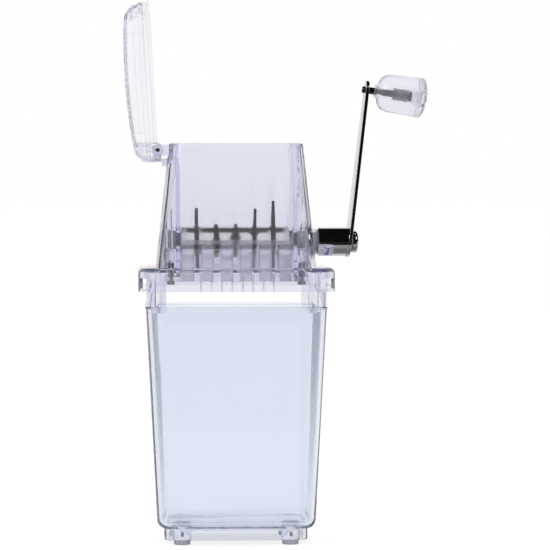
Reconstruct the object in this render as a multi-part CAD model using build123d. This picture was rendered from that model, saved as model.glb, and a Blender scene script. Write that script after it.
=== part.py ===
from build123d import *
import math
import os

# Hand crank ice crusher: clear bin, clear hopper head with a lid, and a side crank.
# Millimetres. +Z is up, the floor is Z = 0, the crank is on the +X side, -Y is the front.

os.makedirs("parts", exist_ok=True)

# How far joined shapes run into each other
join = 0.5

# Bin
bin_length = 116.0
bin_depth = 96.0
bin_corner = 15.5
bin_draft = 3.0
bin_wall = 2.6
bin_rim = 153.0
bin_bottom = 10.5
bin_floor = 3.0
bin_edge_round = 6.5
bin_floor_round = 4.5
bead_proud = 0.55
bead_height = 1.7
bead_round = 0.5

# Plinth and feet under the bin
plinth_length = 92.0
plinth_depth = 62.0
plinth_corner = 10.0
plinth_wall = 2.4
plinth_top = 12.0
plinth_bottom = 3.0
foot_x = 34.8
foot_y = 27.0
foot_boss_diameter = 11.8
foot_pad_diameter = 10.6
foot_pad_round = 0.9
foot_pin_diameter = 4.9
foot_bore_diameter = 5.0
foot_pin_top = 8.5
foot_bore_top = 9.0

# Flange at the bottom of the head
flange_length = 126.0
flange_depth = 108.0
flange_bow = 4.0
flange_corner = 14.0
flange_wall = 2.8
flange_bottom = 163.0
flange_top = 178.0
flange_plate = 3.0
flange_round = 3.6
window_inner_x = 53.3
window_outer_x = 60.0
window_bottom = 165.0
window_top = 171.4
skirt_rib_thickness = 1.2
skirt_rib_depth = 3.5
skirt_rib_pitch = 6.6
skirt_rib_count = 8
skirt_rib_bottom = 163.5
mould_mark_x = 49.7
mould_mark_z = 166.5
mould_mark_diameter = 3.0
mould_mark_depth = 0.4

# Corner tongues that drop into the bin, and the lugs that sit on its rim
tongue_half_length = 54.2
tongue_half_depth = 44.2
tongue_corner = 13.0
tongue_wall = 2.2
tongue_bottom = 149.0
tongue_start_x = 45.0
tongue_start_y = 35.0
lug_y = 36.5
lug_width = 3.0
lug_outer_x = 57.5

# Hopper walls
hopper_length = 103.0
hopper_depth = 82.8
hopper_corner = 18.0
hopper_draft = 6.1
hopper_wall = 2.5
hopper_rim = 257.6
rim_web_bottom = 255.2
partition_inner_x = 36.0
partition_outer_x = 38.5
partition_bottom = 172.0
guide_rib_x = 35.0
guide_rib_top = 192.7
guide_rib_thickness = 1.5
guide_rib_gap = 0.3
screw_x = 42.0
screw_y = 28.0
boss_diameter = 8.0
boss_top = 190.0
pilot_diameter = 3.0
pilot_top = 183.0

# Crank axis and its bearings
axis_z = 194.0
tube_outer = 17.0
tube_inner = 13.0
right_tube_end = 52.6
left_tube_end = -47.3
left_bore_end = -46.0
bush_diameter = 12.9
bush_flange_diameter = 16.0
bush_flange = 0.8
bush_bore = 9.1

# Hinge
pin_x = -50.3
pin_z = 253.3
pin_diameter = 2.5
pin_length = 71.0
knuckle_radius = 3.5
knuckle_start = 18.0
knuckle_end = 28.0
stop_face_x = -47.4
stop_bottom = 243.0
stop_top = 248.0
stop_width = 16.0

# Combs
comb_x = 35.7
comb_outer_y = 36.0
comb_inner_y = 33.6
comb_bottom = 169.0
comb_top = 195.6
rail_bottom = 193.0
rail_inner_y = 30.2
slot_rail_bottom = 189.7
slot_edges = [(-34.5, -24.0), (-20.8, -2.0), (1.6, 20.8), (24.0, 34.5)]
finger_width = 7.4
finger_pitch = 12.4
finger_root_y = 34.6
finger_arc = 10.5
finger_heel_y = 24.0
finger_count = 6
finger_arc_turns = (195.0, 212.5, 230.0)
ear_end_x = 46.0
ear_hole_diameter = 3.2
screw_shank_diameter = 2.9
screw_head_diameter = 5.5
screw_head_bottom = 166.8
screw_tip = 181.0

# Rotor
shaft_square = 9.0
shaft_square_end = 35.0
journal_diameter = 9.0
shaft_end_gap = 0.5
groove_diameter = 7.0
clip_thickness = 0.8
clip_diameter = 13.0
clip_opening = 5.0
drive_square = 7.0
drive_start = 53.6
drive_end = 74.0
thread_diameter = 6.0
thread_end = 79.0
blade_count = 5
blade_pitch = 12.4
blade_thickness = 2.0
blade_hub = 21.0
blade_step = 36.0
# One pointed finger of a blade, across and up from the shaft's centre
finger_points = [(-7.5, 5.0), (8.4, 4.0), (5.4, 14.5), (2.2, 24.2), (0.6, 25.0), (-2.6, 19.5)]
square_bore = 9.1
spacer_diameter = 18.6
spacer_round = 0.5

# Crank arm, sleeve and nut
sleeve_diameter = 18.5
sleeve_start = 53.6
drive_bore = 7.1
arm_x = 73.9
arm_lean = 6.7
arm_twist = 4.5
arm_thickness = 2.2
arm_length = 99.2
arm_hub_radius = 10.0
arm_tip_radius = 6.2
arm_edge_round = 0.4
washer_diameter = 13.6
washer_bore = 7.2
nut_start = 76.1
nut_diameter = 14.4
nut_rim = 2.2
nut_end = 80.5
nut_dome = (79.8, 4.5)
nut_bore = 6.1
nut_bore_end = 79.3

# Knob, measured along its own axis from the middle of the arm
knob_x = 85.5
knob_z = 292.5
knob_tilt = 8.2
stem_diameter = 4.5
stem_start = -3.0
stem_end = 27.8
stem_head_diameter = 7.0
stem_head_end = 29.6
stem_end_round = 0.6
stem_hole_half = 5.0
shell_start = 5.0
collar_radius = 4.5
collar_end = 6.4
shoulder_end = 14.5
shoulder_radius = 12.2
shoulder_point = (8.4, 9.3)
joint_plane = 34.4
joint_radius = 13.0
cap_end = 39.6
cap_point = (37.6, 10.8)
stem_clearance_bore = 5.2
insert_start = 17.3
insert_end = 27.6
insert_diameter = 8.0
insert_bore = 4.6
spigot_start = 30.4
spigot_diameter = 7.9

# Lid, drawn closed; positions are measured from the hinge pin
lid_open_angle = 93.5
lid_rear = -7.7
lid_front = 95.8
skirt_front = 95.2
lid_dome_half = 34.6
lid_skirt_half = 36.2
lid_bead_half = 36.8
lid_wall = 2.4
lid_skirt_bottom = -0.3
lid_block_bottom = -2.1
lid_bead_top = 1.7
lid_step = 6.9
lid_shoulder = 4.5
lid_front_corner = 12.0
lid_rear_corner = 5.0
lid_block_front = 4.0
skirt_inner_half = 34.0
skirt_inner_front = 94.2
skirt_inner_corner = 9.4
cavity_rear_bottom = 3.0
cavity_front = 92.4
pocket_half = 33.4
barrel_radius = 3.3
barrel_half = 17.5
barrel_web = 2.4
lid_bore = 2.7
groove_bottom = 7.4
groove_top = 11.4
groove_depth = 0.5
groove_start = 12.0
groove_end = 78.0
lid_side_round = 4.0
lid_crown_clear = 15.0
lid_long_edge = 30.0
cavity_rear_corner = 3.0
pocket_inset = 2.0
small_corner = 1.0
barrel_web_top = 13.0
cut_low = -3.0
cut_high = 30.0
# Side view of the outside of the lid, from the rear wall over the crown to the free end
lid_rear_points = [(-7.6, 2.4), (-7.0, 8.7), (-3.7, 13.0), (5.5, 15.7)]
lid_crown_points = [(5.5, 15.7), (17.0, 16.9), (47.0, 18.2), (75.0, 17.4), (84.0, 16.7)]
lid_front_points = [(84.0, 16.7), (89.2, 14.5), (92.4, 11.7), (94.0, 7.8)]


def box_between(x0, x1, y0, y1, z0, z1):
    centre = ((x0 + x1) / 2, (y0 + y1) / 2, (z0 + z1) / 2)
    return Pos(*centre) * Box(x1 - x0, y1 - y0, z1 - z0)


def along_x(x0, x1, diameter, y=0.0, z=0.0):
    return Pos((x0 + x1) / 2, y, z) * Rot(0, 90, 0) * Cylinder(diameter / 2, x1 - x0)


def along_y(y0, y1, diameter, x=0.0, z=0.0):
    return Pos(x, (y0 + y1) / 2, z) * Rot(90, 0, 0) * Cylinder(diameter / 2, y1 - y0)


def along_z(z0, z1, diameter, x=0.0, y=0.0):
    return Pos(x, y, (z0 + z1) / 2) * Cylinder(diameter / 2, z1 - z0)


def bin_block(inset, bottom):
    # the section at the rim narrows downwards, so the corner radius shrinks with it
    length = bin_length - 2 * inset
    depth = bin_depth - 2 * inset
    rim = Plane(origin=(0, 0, bin_rim), x_dir=(1, 0, 0), z_dir=(0, 0, -1))
    section = rim * RectangleRounded(length, depth, bin_corner - inset)
    return extrude(section, bin_rim - bottom, taper=bin_draft)


def make_bin_shell():
    outer = bin_block(0, bin_bottom)
    outer = fillet(outer.edges().group_by(Axis.Z)[0], bin_edge_round)
    bead_length = bin_length + 2 * bead_proud
    bead_depth = bin_depth + 2 * bead_proud
    bead_section = RectangleRounded(bead_length, bead_depth, bin_corner + bead_proud)
    bead = extrude(Pos(0, 0, bin_rim - bead_height) * bead_section, bead_height)
    bead = fillet(bead.edges().group_by(Axis.Z)[0], bead_round)
    bead = fillet(bead.edges().group_by(Axis.Z)[-1], bead_round)
    inner = bin_block(bin_wall, bin_bottom + bin_floor)
    inner = fillet(inner.edges().group_by(Axis.Z)[0], bin_floor_round)
    plinth_outer = RectangleRounded(plinth_length, plinth_depth, plinth_corner)
    plinth_inner = RectangleRounded(
        plinth_length - 2 * plinth_wall, plinth_depth - 2 * plinth_wall, plinth_corner - plinth_wall
    )
    plinth = extrude(Pos(0, 0, plinth_bottom) * (plinth_outer - plinth_inner), plinth_top - plinth_bottom)
    bosses = [along_z(plinth_bottom, plinth_top, foot_boss_diameter, x, y) for x, y in foot_places()]
    bores = [along_z(plinth_bottom, foot_bore_top, foot_bore_diameter, x, y) for x, y in foot_places()]
    return (outer + bead - inner) + plinth + bosses - bores


def foot_places():
    return [(-foot_x, -foot_y), (foot_x, -foot_y), (foot_x, foot_y), (-foot_x, foot_y)]


def make_foot_pad(x, y):
    pad = along_z(0, plinth_bottom, foot_pad_diameter, x, y)
    pad = fillet(pad.edges().group_by(Axis.Z)[0], foot_pad_round)
    return pad + along_z(plinth_bottom, foot_pin_top, foot_pin_diameter, x, y)


def flange_outline(inset):
    end_x = flange_length / 2 - inset
    corner_y = flange_depth / 2 - flange_bow - inset
    middle_y = flange_depth / 2 - inset
    front = ThreePointArc((-end_x, -corner_y), (0, -middle_y), (end_x, -corner_y))
    right = Line((end_x, -corner_y), (end_x, corner_y))
    back = ThreePointArc((end_x, corner_y), (0, middle_y), (-end_x, corner_y))
    left = Line((-end_x, corner_y), (-end_x, -corner_y))
    outline = make_face([front, right, back, left])
    return fillet(outline.vertices(), flange_corner - inset)


def make_flange():
    block = extrude(Pos(0, 0, flange_bottom) * flange_outline(0), flange_top - flange_bottom)
    block = fillet(block.edges().group_by(Axis.Z)[-1], flange_round)
    hollow_height = flange_top - flange_plate - flange_bottom
    block -= extrude(Pos(0, 0, flange_bottom) * flange_outline(flange_wall), hollow_height)
    middle_y = flange_depth / 2
    for side in (-1, 1):
        y0, y1 = sorted((side * (middle_y - flange_corner - flange_bow), side * (middle_y + join)))
        for end in (-1, 1):
            x0, x1 = sorted((end * window_inner_x, end * window_outer_x))
            block -= box_between(x0, x1, y0, y1, window_bottom, window_top)
        root_y = middle_y - flange_wall
        y0, y1 = sorted((side * (root_y - skirt_rib_depth), side * (root_y + join)))
        for number in range(skirt_rib_count):
            x = (number - (skirt_rib_count - 1) / 2) * skirt_rib_pitch
            half = skirt_rib_thickness / 2
            block += box_between(x - half, x + half, y0, y1, skirt_rib_bottom, flange_top - join)
    return block


def hopper_block(inset, bottom, top):
    # the walls lean inwards towards the rim
    growth = (flange_top - bottom) * math.tan(math.radians(hopper_draft)) - inset
    length = hopper_length + 2 * growth
    depth = hopper_depth + 2 * growth
    section = Pos(0, 0, bottom) * RectangleRounded(length, depth, hopper_corner + growth)
    return extrude(section, top - bottom, taper=hopper_draft)


def make_tongues():
    outer = RectangleRounded(2 * tongue_half_length, 2 * tongue_half_depth, tongue_corner)
    inner = RectangleRounded(
        2 * (tongue_half_length - tongue_wall),
        2 * (tongue_half_depth - tongue_wall),
        tongue_corner - tongue_wall,
    )
    seat = flange_top - flange_plate
    ring = extrude(Pos(0, 0, tongue_bottom) * (outer - inner), seat - tongue_bottom + join)
    ring -= Pos(0, 0, seat) * Box(2 * tongue_start_x, 3 * tongue_half_depth, 3 * (seat - tongue_bottom))
    ring -= Pos(0, 0, seat) * Box(3 * tongue_half_length, 2 * tongue_start_y, 3 * (seat - tongue_bottom))
    lugs = Part()
    for side in (-1, 1):
        y0 = side * lug_y - lug_width / 2
        for end in (-1, 1):
            x0, x1 = sorted((end * (tongue_half_length - join), end * lug_outer_x))
            lugs += box_between(x0, x1, y0, y0 + lug_width, bin_rim, seat + join)
    return ring + lugs


def make_hopper_walls():
    seat = flange_top - flange_plate
    walls = hopper_block(0, seat, hopper_rim) - hopper_block(hopper_wall, seat, hopper_rim)
    inside = hopper_block(0, partition_bottom, hopper_rim)
    reach = hopper_length
    for end in (-1, 1):
        x0, x1 = sorted((end * partition_inner_x, end * partition_outer_x))
        partition = box_between(x0, x1, -reach, reach, partition_bottom, hopper_rim)
        x0, x1 = sorted((end * partition_inner_x, end * reach))
        web = box_between(x0, x1, -reach, reach, rim_web_bottom, hopper_rim)
        walls += (partition + web) & inside
        for side in (-1, 1):
            x0, x1 = sorted((end * guide_rib_x, end * (partition_inner_x + join)))
            face_y = comb_inner_y - guide_rib_gap
            y0, y1 = sorted((side * face_y, side * (face_y - guide_rib_thickness)))
            walls += box_between(x0, x1, y0, y1, partition_bottom, guide_rib_top)
            walls += along_z(partition_bottom, boss_top, boss_diameter, end * screw_x, side * screw_y)
    return walls


def make_hinge_knuckles():
    wall_x = -hopper_length / 2 + (pin_z - flange_top) * math.tan(math.radians(hopper_draft)) + 2 * join
    knuckles = Part()
    for y0, y1 in ((-knuckle_end, -knuckle_start), (knuckle_start, knuckle_end)):
        knuckles += along_y(y0, y1, 2 * knuckle_radius, pin_x, pin_z)
        knuckles += box_between(pin_x, wall_x, y0, y1, pin_z - knuckle_radius, pin_z + knuckle_radius)
    stop = box_between(stop_face_x, wall_x, -stop_width / 2, stop_width / 2, stop_bottom, stop_top)
    return knuckles + stop


def make_head_housing():
    seat = flange_top - flange_plate
    head = make_flange() - hopper_block(hopper_wall, seat - join, flange_top + join)
    head += make_hopper_walls()
    head += make_tongues()
    head += make_hinge_knuckles()
    head += along_x(partition_inner_x, right_tube_end, tube_outer, z=axis_z)
    head += along_x(left_tube_end, -partition_inner_x, tube_outer, z=axis_z)
    head -= along_x(partition_inner_x - join, right_tube_end, tube_inner, z=axis_z)
    head -= along_x(left_bore_end, join - partition_inner_x, tube_inner, z=axis_z)
    for x in (-screw_x, screw_x):
        for y in (-screw_y, screw_y):
            head -= along_z(partition_bottom, pilot_top, pilot_diameter, x, y)
    head -= along_y(-knuckle_end - join, knuckle_end + join, pin_diameter, pin_x, pin_z)
    mark_start = -flange_depth / 2
    mark_end = mark_start + flange_bow + mould_mark_depth
    head -= along_y(mark_start, mark_end, mould_mark_diameter, mould_mark_x, mould_mark_z)
    return head


def make_hinge_pin():
    return along_y(-pin_length / 2, pin_length / 2, pin_diameter, pin_x, pin_z)


def make_bush(bore_end, face, flange_end):
    inner_x, outer_x = sorted((bore_end, face))
    bush = along_x(inner_x, outer_x, bush_diameter, z=axis_z)
    x0, x1 = sorted((face, flange_end))
    bush += along_x(x0, x1, bush_flange_diameter, z=axis_z)
    return bush - along_x(min(inner_x, x0), max(outer_x, x1), bush_bore, z=axis_z)


def comb_finger(x):
    # side view: a bar that slopes to the rotor, is cut round it, and runs back to the plate
    turns = [math.radians(turn) for turn in finger_arc_turns]
    arc = [(finger_arc * math.cos(turn), axis_z + finger_arc * math.sin(turn)) for turn in turns]
    sides = [
        Line((-finger_root_y, rail_bottom), arc[0]),
        ThreePointArc(*arc),
        Line(arc[2], (-finger_heel_y, comb_bottom)),
        Line((-finger_heel_y, comb_bottom), (-finger_root_y, comb_bottom)),
        Line((-finger_root_y, comb_bottom), (-finger_root_y, rail_bottom)),
    ]
    profile = Plane(origin=(x - finger_width / 2, 0, 0), x_dir=(0, 1, 0), z_dir=(1, 0, 0))
    return extrude(profile * make_face(sides), finger_width)


def make_front_comb():
    comb = box_between(-comb_x, comb_x, -comb_outer_y, -comb_inner_y, comb_bottom, comb_top)
    comb += box_between(-comb_x, comb_x, -comb_outer_y, -rail_inner_y, rail_bottom, comb_top)
    for x0, x1 in slot_edges:
        comb -= box_between(x0, x1, -comb_outer_y, -comb_inner_y, slot_rail_bottom, rail_bottom)
    for number in range(finger_count):
        comb += comb_finger((number - (finger_count - 1) / 2) * finger_pitch)
    comb += box_between(
        -ear_end_x, ear_end_x, -comb_outer_y, -finger_heel_y, comb_bottom, partition_bottom
    ) - box_between(-comb_x, comb_x, -comb_inner_y, 0, comb_bottom, partition_bottom)
    for x in (-screw_x, screw_x):
        comb -= along_z(comb_bottom, partition_bottom, ear_hole_diameter, x, -screw_y)
    return comb


def make_comb_screws():
    screws = []
    for x in (-screw_x, screw_x):
        for y in (-screw_y, screw_y):
            head = along_z(screw_head_bottom, comb_bottom, screw_head_diameter, x, y)
            shank = along_z(comb_bottom, screw_tip, screw_shank_diameter, x, y)
            screws.append(head + shank)
    return Compound(screws)


def make_rotor_shaft():
    shaft = Pos(0, 0, axis_z) * Box(2 * shaft_square_end, shaft_square, shaft_square)
    shaft += along_x(left_bore_end + shaft_end_gap, -shaft_square_end, journal_diameter, z=axis_z)
    shaft += along_x(shaft_square_end, shaft_square_end + clip_thickness, groove_diameter, z=axis_z)
    shaft += along_x(shaft_square_end + clip_thickness, drive_start, journal_diameter, z=axis_z)
    drive_length = drive_end - drive_start
    shaft += Pos((drive_start + drive_end) / 2, 0, axis_z) * Box(drive_length, drive_square, drive_square)
    return shaft + along_x(drive_end, thread_end, thread_diameter, z=axis_z)


def make_retaining_clip():
    start = shaft_square_end
    clip = along_x(start, start + clip_thickness, clip_diameter, z=axis_z)
    clip -= along_x(start, start + clip_thickness, groove_diameter, z=axis_z)
    half = clip_opening / 2
    return clip - box_between(start, start + clip_thickness, -half, half, axis_z - clip_diameter, axis_z)


def make_blade(x, turn):
    # hub with two pointed fingers opposite each other
    hub = Circle(blade_hub / 2)
    finger = Polygon(*finger_points, align=None)
    outline = Rot(0, 0, turn) * (hub + finger + Rot(0, 0, 180) * finger)
    outline -= Rectangle(square_bore, square_bore)
    face_plane = Plane(origin=(x - blade_thickness / 2, 0, axis_z), x_dir=(0, 1, 0), z_dir=(1, 0, 0))
    return extrude(face_plane * outline, blade_thickness)


def make_spacer(x0, x1):
    spacer = along_x(x0, x1, spacer_diameter, z=axis_z)
    spacer = fillet(spacer.edges().filter_by(GeomType.CIRCLE), spacer_round)
    return spacer - Pos((x0 + x1) / 2, 0, axis_z) * Box(x1 - x0, square_bore, square_bore)


def arm_frame():
    return Pos(arm_x, 0, axis_z) * Rot(0, arm_lean, 0) * Rot(0, 0, arm_twist)


def beyond_arm(offset):
    # everything to the right of a plane parallel to the arm
    size = 4 * arm_hub_radius
    return arm_frame() * Pos(offset + size / 2, 0, 0) * Box(size, size, size)


def make_crank_sleeve():
    sleeve = along_x(sleeve_start, nut_start, sleeve_diameter, z=axis_z) - beyond_arm(-arm_thickness / 2)
    drive = box_between(sleeve_start, nut_start, -drive_bore / 2, drive_bore / 2, 0, drive_bore)
    return sleeve - Pos(0, 0, axis_z - drive_bore / 2) * drive


def make_crank_arm():
    across = Plane(origin=(-arm_thickness / 2, 0, 0), x_dir=(0, 1, 0), z_dir=(1, 0, 0))
    ends = Circle(arm_hub_radius).edges() + (Pos(0, arm_length) * Circle(arm_tip_radius)).edges()
    arm = extrude(across * make_hull(ends), arm_thickness)
    arm = arm_frame() * fillet(arm.edges(), arm_edge_round)
    half = drive_bore / 2
    arm -= box_between(sleeve_start, nut_start, -half, half, axis_z - half, axis_z + half)
    return arm - knob_frame() * along_x(-stem_hole_half, stem_hole_half, stem_diameter)


def make_crank_washer():
    washer = along_x(drive_end - join, nut_start, washer_diameter, z=axis_z)
    washer &= beyond_arm(arm_thickness / 2)
    return washer - along_x(drive_end - join, nut_start, washer_bore, z=axis_z)


def make_crank_nut():
    radius = nut_diameter / 2
    shoulder = nut_start + nut_rim
    profile = make_face(
        [
            Line((nut_start, 0), (nut_start, radius)),
            Line((nut_start, radius), (shoulder, radius)),
            Spline([(shoulder, radius), nut_dome, (nut_end, 0)], tangents=[(1, 0), (0, -1)]),
            Line((nut_end, 0), (nut_start, 0)),
        ]
    )
    nut = revolve(Plane.XZ * profile, Axis.X)
    return Pos(0, 0, axis_z) * (nut - along_x(nut_start, nut_bore_end, nut_bore))


def knob_frame():
    return Pos(knob_x, 0, knob_z) * Rot(0, knob_tilt, 0)


def make_knob_stem():
    stem = along_x(stem_start, stem_end, stem_diameter)
    stem = fillet(stem.edges().filter_by(GeomType.CIRCLE).group_by(Axis.X)[0], stem_end_round)
    stem += along_x(stem_end, stem_head_end, stem_head_diameter)
    return knob_frame() * stem


def make_knob_shell():
    profile = make_face(
        [
            Line((shell_start, 0), (shell_start, collar_radius)),
            Line((shell_start, collar_radius), (collar_end, collar_radius)),
            Spline([(collar_end, collar_radius), shoulder_point, (shoulder_end, shoulder_radius)],
                   tangents=[(0.3, 1), (1, 0.04)]),
            Line((shoulder_end, shoulder_radius), (joint_plane, joint_radius)),
            Line((joint_plane, joint_radius), (joint_plane, 0)),
            Line((joint_plane, 0), (shell_start, 0)),
        ]
    )
    shell = revolve(Plane.XZ * profile, Axis.X)
    shell -= along_x(shell_start, insert_start, stem_clearance_bore)
    return knob_frame() * (shell - along_x(insert_start, joint_plane, insert_diameter))


def make_knob_bushing():
    bushing = along_x(insert_start, insert_end, insert_diameter)
    return knob_frame() * (bushing - along_x(insert_start, insert_end, insert_bore))


def make_knob_end_cap():
    profile = make_face(
        [
            Line((joint_plane, 0), (joint_plane, joint_radius)),
            Spline([(joint_plane, joint_radius), cap_point, (cap_end, 0)], tangents=[(1, 0), (0, -1)]),
            Line((cap_end, 0), (joint_plane, 0)),
        ]
    )
    cap = revolve(Plane.XZ * profile, Axis.X)
    return knob_frame() * (cap + along_x(spigot_start, joint_plane, spigot_diameter))


def lid_side_view(inset):
    # side view of the lid; inset moves the outside inwards by one wall
    rear = [(x + inset, z - inset) for x, z in lid_rear_points]
    crown = [(x, z - inset) for x, z in lid_crown_points]
    front = [(x - inset, z - inset) for x, z in lid_front_points]
    rear[-1] = crown[0]
    front[0] = crown[-1]
    floor = lid_block_bottom
    return make_face(
        [
            Line((rear[0][0], floor), rear[0]),
            Spline(rear, tangents=[(0.05, 1), (1, 0.12)]),
            Spline(crown, tangents=[(1, 0.12), (1, -0.1)]),
            Spline(front, tangents=[(1, -0.1), (0.2, -1)]),
            Line(front[-1], (front[-1][0], floor)),
            Line((front[-1][0], floor), (rear[0][0], floor)),
        ]
    )


def lid_plan(half_depth, rear, front, front_corner, rear_corner, bottom, top):
    section = Pos((rear + front) / 2, 0, bottom) * Rectangle(front - rear, 2 * half_depth)
    block = extrude(section, top - bottom)
    uprights = block.edges().filter_by(Axis.Z).group_by(Axis.X)
    block = fillet(uprights[-1], front_corner)
    return fillet(block.edges().filter_by(Axis.Z).group_by(Axis.X)[0], rear_corner)


def lid_outside():
    side_plane = Plane(origin=(0, lid_dome_half, 0), x_dir=(1, 0, 0), z_dir=(0, -1, 0))
    dome = extrude(side_plane * lid_side_view(0), 2 * lid_dome_half)
    dome &= lid_plan(
        lid_dome_half, lid_rear, lid_front, lid_front_corner, lid_rear_corner, lid_step, cut_high
    )
    long_edges = dome.edges().filter_by(lambda edge: edge.length > lid_long_edge)
    dome = fillet(long_edges.filter_by(lambda edge: edge.center().Z > lid_crown_clear), lid_side_round)
    skirt = lid_plan(
        lid_skirt_half, lid_rear, skirt_front, lid_front_corner, lid_rear_corner, lid_skirt_bottom, lid_step
    )
    bead = lid_plan(
        lid_bead_half, lid_rear, lid_front, lid_front_corner, lid_rear_corner, lid_skirt_bottom, lid_bead_top
    )
    block = lid_plan(
        lid_skirt_half, lid_rear, lid_block_front, small_corner, lid_rear_corner,
        lid_block_bottom, lid_bead_top,
    )
    return dome + skirt + bead + block


def lid_hollow():
    inner_half = lid_dome_half - lid_wall
    side_plane = Plane(origin=(0, inner_half, 0), x_dir=(1, 0, 0), z_dir=(0, -1, 0))
    under_crown = extrude(side_plane * lid_side_view(lid_wall), 2 * inner_half)
    cavity_corner = lid_front_corner - lid_wall
    cavity_plan = lid_plan(
        inner_half, cavity_rear_bottom, cavity_front, cavity_corner, cavity_rear_corner, cut_low, cut_high
    )
    cavity = under_crown & cavity_plan
    mouth = lid_plan(
        skirt_inner_half, lid_block_front, skirt_inner_front, skirt_inner_corner, small_corner,
        cut_low, lid_shoulder,
    )
    pocket_front = cavity_rear_bottom - lid_wall
    pocket_plan = lid_plan(
        pocket_half - pocket_inset, lid_rear + lid_wall, pocket_front, small_corner, small_corner,
        cut_low, cut_high,
    )
    pocket = (under_crown & pocket_plan) + box_between(
        lid_rear + lid_wall, lid_block_front + join, -pocket_half, pocket_half, cut_low, lid_shoulder + join
    )
    return cavity + mouth + pocket


def make_lid_shell():
    lid = lid_outside() - lid_hollow()
    lid += along_y(-barrel_half, barrel_half, 2 * barrel_radius)
    half = barrel_web / 2
    lid += box_between(-half, half, -barrel_half, barrel_half, 0, barrel_web_top)
    lid -= along_y(-2 * lid_bead_half, 2 * lid_bead_half, lid_bore)
    for side in (-1, 1):
        y0, y1 = sorted((side * (lid_dome_half - groove_depth), side * 2 * lid_dome_half))
        lid -= box_between(groove_start, groove_end, y0, y1, groove_bottom, groove_top)
    return Pos(pin_x, 0, pin_z) * Rot(0, -lid_open_angle, 0) * lid


def save(name, shape):
    shape.label = name
    export_step(shape, f"parts/{name}.step")


save("bin_shell", make_bin_shell())
for number, (x, y) in enumerate(foot_places(), start=1):
    save(f"foot_pad_{number}", make_foot_pad(x, y))

save("head_housing", make_head_housing())
save("hinge_pin", make_hinge_pin())
save("bush_left", make_bush(left_bore_end, -partition_inner_x, bush_flange - partition_inner_x))
save("bush_right", make_bush(partition_inner_x, right_tube_end, right_tube_end + bush_flange))
front_comb = make_front_comb()
save("front_comb", front_comb)
save("rear_comb", Rot(0, 0, 180) * front_comb)
save("comb_screws", make_comb_screws())

save("rotor_shaft", make_rotor_shaft())
save("retaining_clip", make_retaining_clip())
blade_places = [(number - (blade_count - 1) / 2) * blade_pitch for number in range(blade_count)]
for number, x in enumerate(blade_places, start=1):
    save(f"crusher_blade_{number}", make_blade(x, (blade_count - number) * blade_step))
spacer_starts = [-shaft_square_end] + [x + blade_thickness / 2 for x in blade_places]
spacer_ends = [x - blade_thickness / 2 for x in blade_places] + [shaft_square_end]
for number, (x0, x1) in enumerate(zip(spacer_starts, spacer_ends), start=1):
    save(f"spacer_{number}", make_spacer(x0, x1))

save("crank_sleeve", make_crank_sleeve())
save("crank_arm", make_crank_arm())
save("crank_washer", make_crank_washer())
save("crank_nut", make_crank_nut())
save("knob_stem", make_knob_stem())
save("knob_shell", make_knob_shell())
save("knob_bushing", make_knob_bushing())
save("knob_end_cap", make_knob_end_cap())
save("lid_shell", make_lid_shell())
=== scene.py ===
import math

import bmesh
import bpy
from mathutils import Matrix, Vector


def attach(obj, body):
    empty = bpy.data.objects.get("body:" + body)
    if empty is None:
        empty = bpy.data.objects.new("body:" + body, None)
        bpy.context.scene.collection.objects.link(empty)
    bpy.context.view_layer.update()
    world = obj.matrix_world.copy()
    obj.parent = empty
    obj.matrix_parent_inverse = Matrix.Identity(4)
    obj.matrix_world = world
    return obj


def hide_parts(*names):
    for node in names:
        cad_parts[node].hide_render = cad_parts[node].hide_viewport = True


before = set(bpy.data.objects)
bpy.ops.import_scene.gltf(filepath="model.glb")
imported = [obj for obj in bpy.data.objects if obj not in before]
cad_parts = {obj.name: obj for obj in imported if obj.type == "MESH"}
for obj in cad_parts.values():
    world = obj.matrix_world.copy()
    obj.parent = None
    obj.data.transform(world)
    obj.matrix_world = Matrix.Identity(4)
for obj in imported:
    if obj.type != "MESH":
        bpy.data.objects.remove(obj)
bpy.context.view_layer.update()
mm = 0.001
mergeGap = 0.01 * mm
leastInset = 0.0005  # mm: an inset of nothing at all makes no new faces


def linear(code):
    parts = [int(code[i:i + 2], 16) / 255 for i in (1, 3, 5)]
    return tuple(c / 12.92 if c <= 0.04045 else ((c + 0.055) / 1.055) ** 2.4 for c in parts)


def addNode(tree, kind, settings=None, links=None):
    node = tree.nodes.new(kind)
    for key, value in (settings or {}).items():
        if key in node.inputs.keys() or isinstance(key, int):
            node.inputs[key].default_value = value
        else:
            setattr(node, key, value)
    for key, source in (links or {}).items():
        tree.links.new(source, node.inputs[key])
    return node


def blend(tree, factor, first, second):
    # the colour that runs from the first to the second as the factor does
    mix = addNode(tree, "ShaderNodeMix", {"data_type": "RGBA"}, {"Factor": factor})
    for socket, colour in ((6, first), (7, second)):
        mix.inputs[socket].default_value = (*[min(1, c) for c in colour], 1)
    return mix.outputs[2]


def enterEdit(piece, mode="FACE"):
    bpy.ops.object.select_all(action="DESELECT")
    piece.select_set(True)
    bpy.context.view_layer.objects.active = piece
    bpy.ops.object.mode_set(mode="EDIT")
    bpy.ops.mesh.select_mode(type=mode)
    bpy.ops.mesh.select_all(action="DESELECT")


def leaveEdit():
    bpy.ops.object.mode_set(mode="OBJECT")


def pick(test, kind="faces"):
    mesh = bmesh.from_edit_mesh(bpy.context.object.data)
    for part in getattr(mesh, kind):
        if kind == "faces":
            place = part.calc_center_median()
        elif kind == "edges":
            place = (part.verts[0].co + part.verts[1].co) / 2
        else:
            place = part.co
        part.select_set(bool(test(place / mm, part)))
    mesh.select_flush_mode()
    bmesh.update_edit_mesh(bpy.context.object.data)


def settle(piece):
    # place and turn go into the mesh, the object stays at the origin
    bpy.ops.object.select_all(action="DESELECT")
    piece.select_set(True)
    bpy.context.view_layer.objects.active = piece
    bpy.ops.object.transform_apply(location=True, rotation=True, scale=True)


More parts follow.
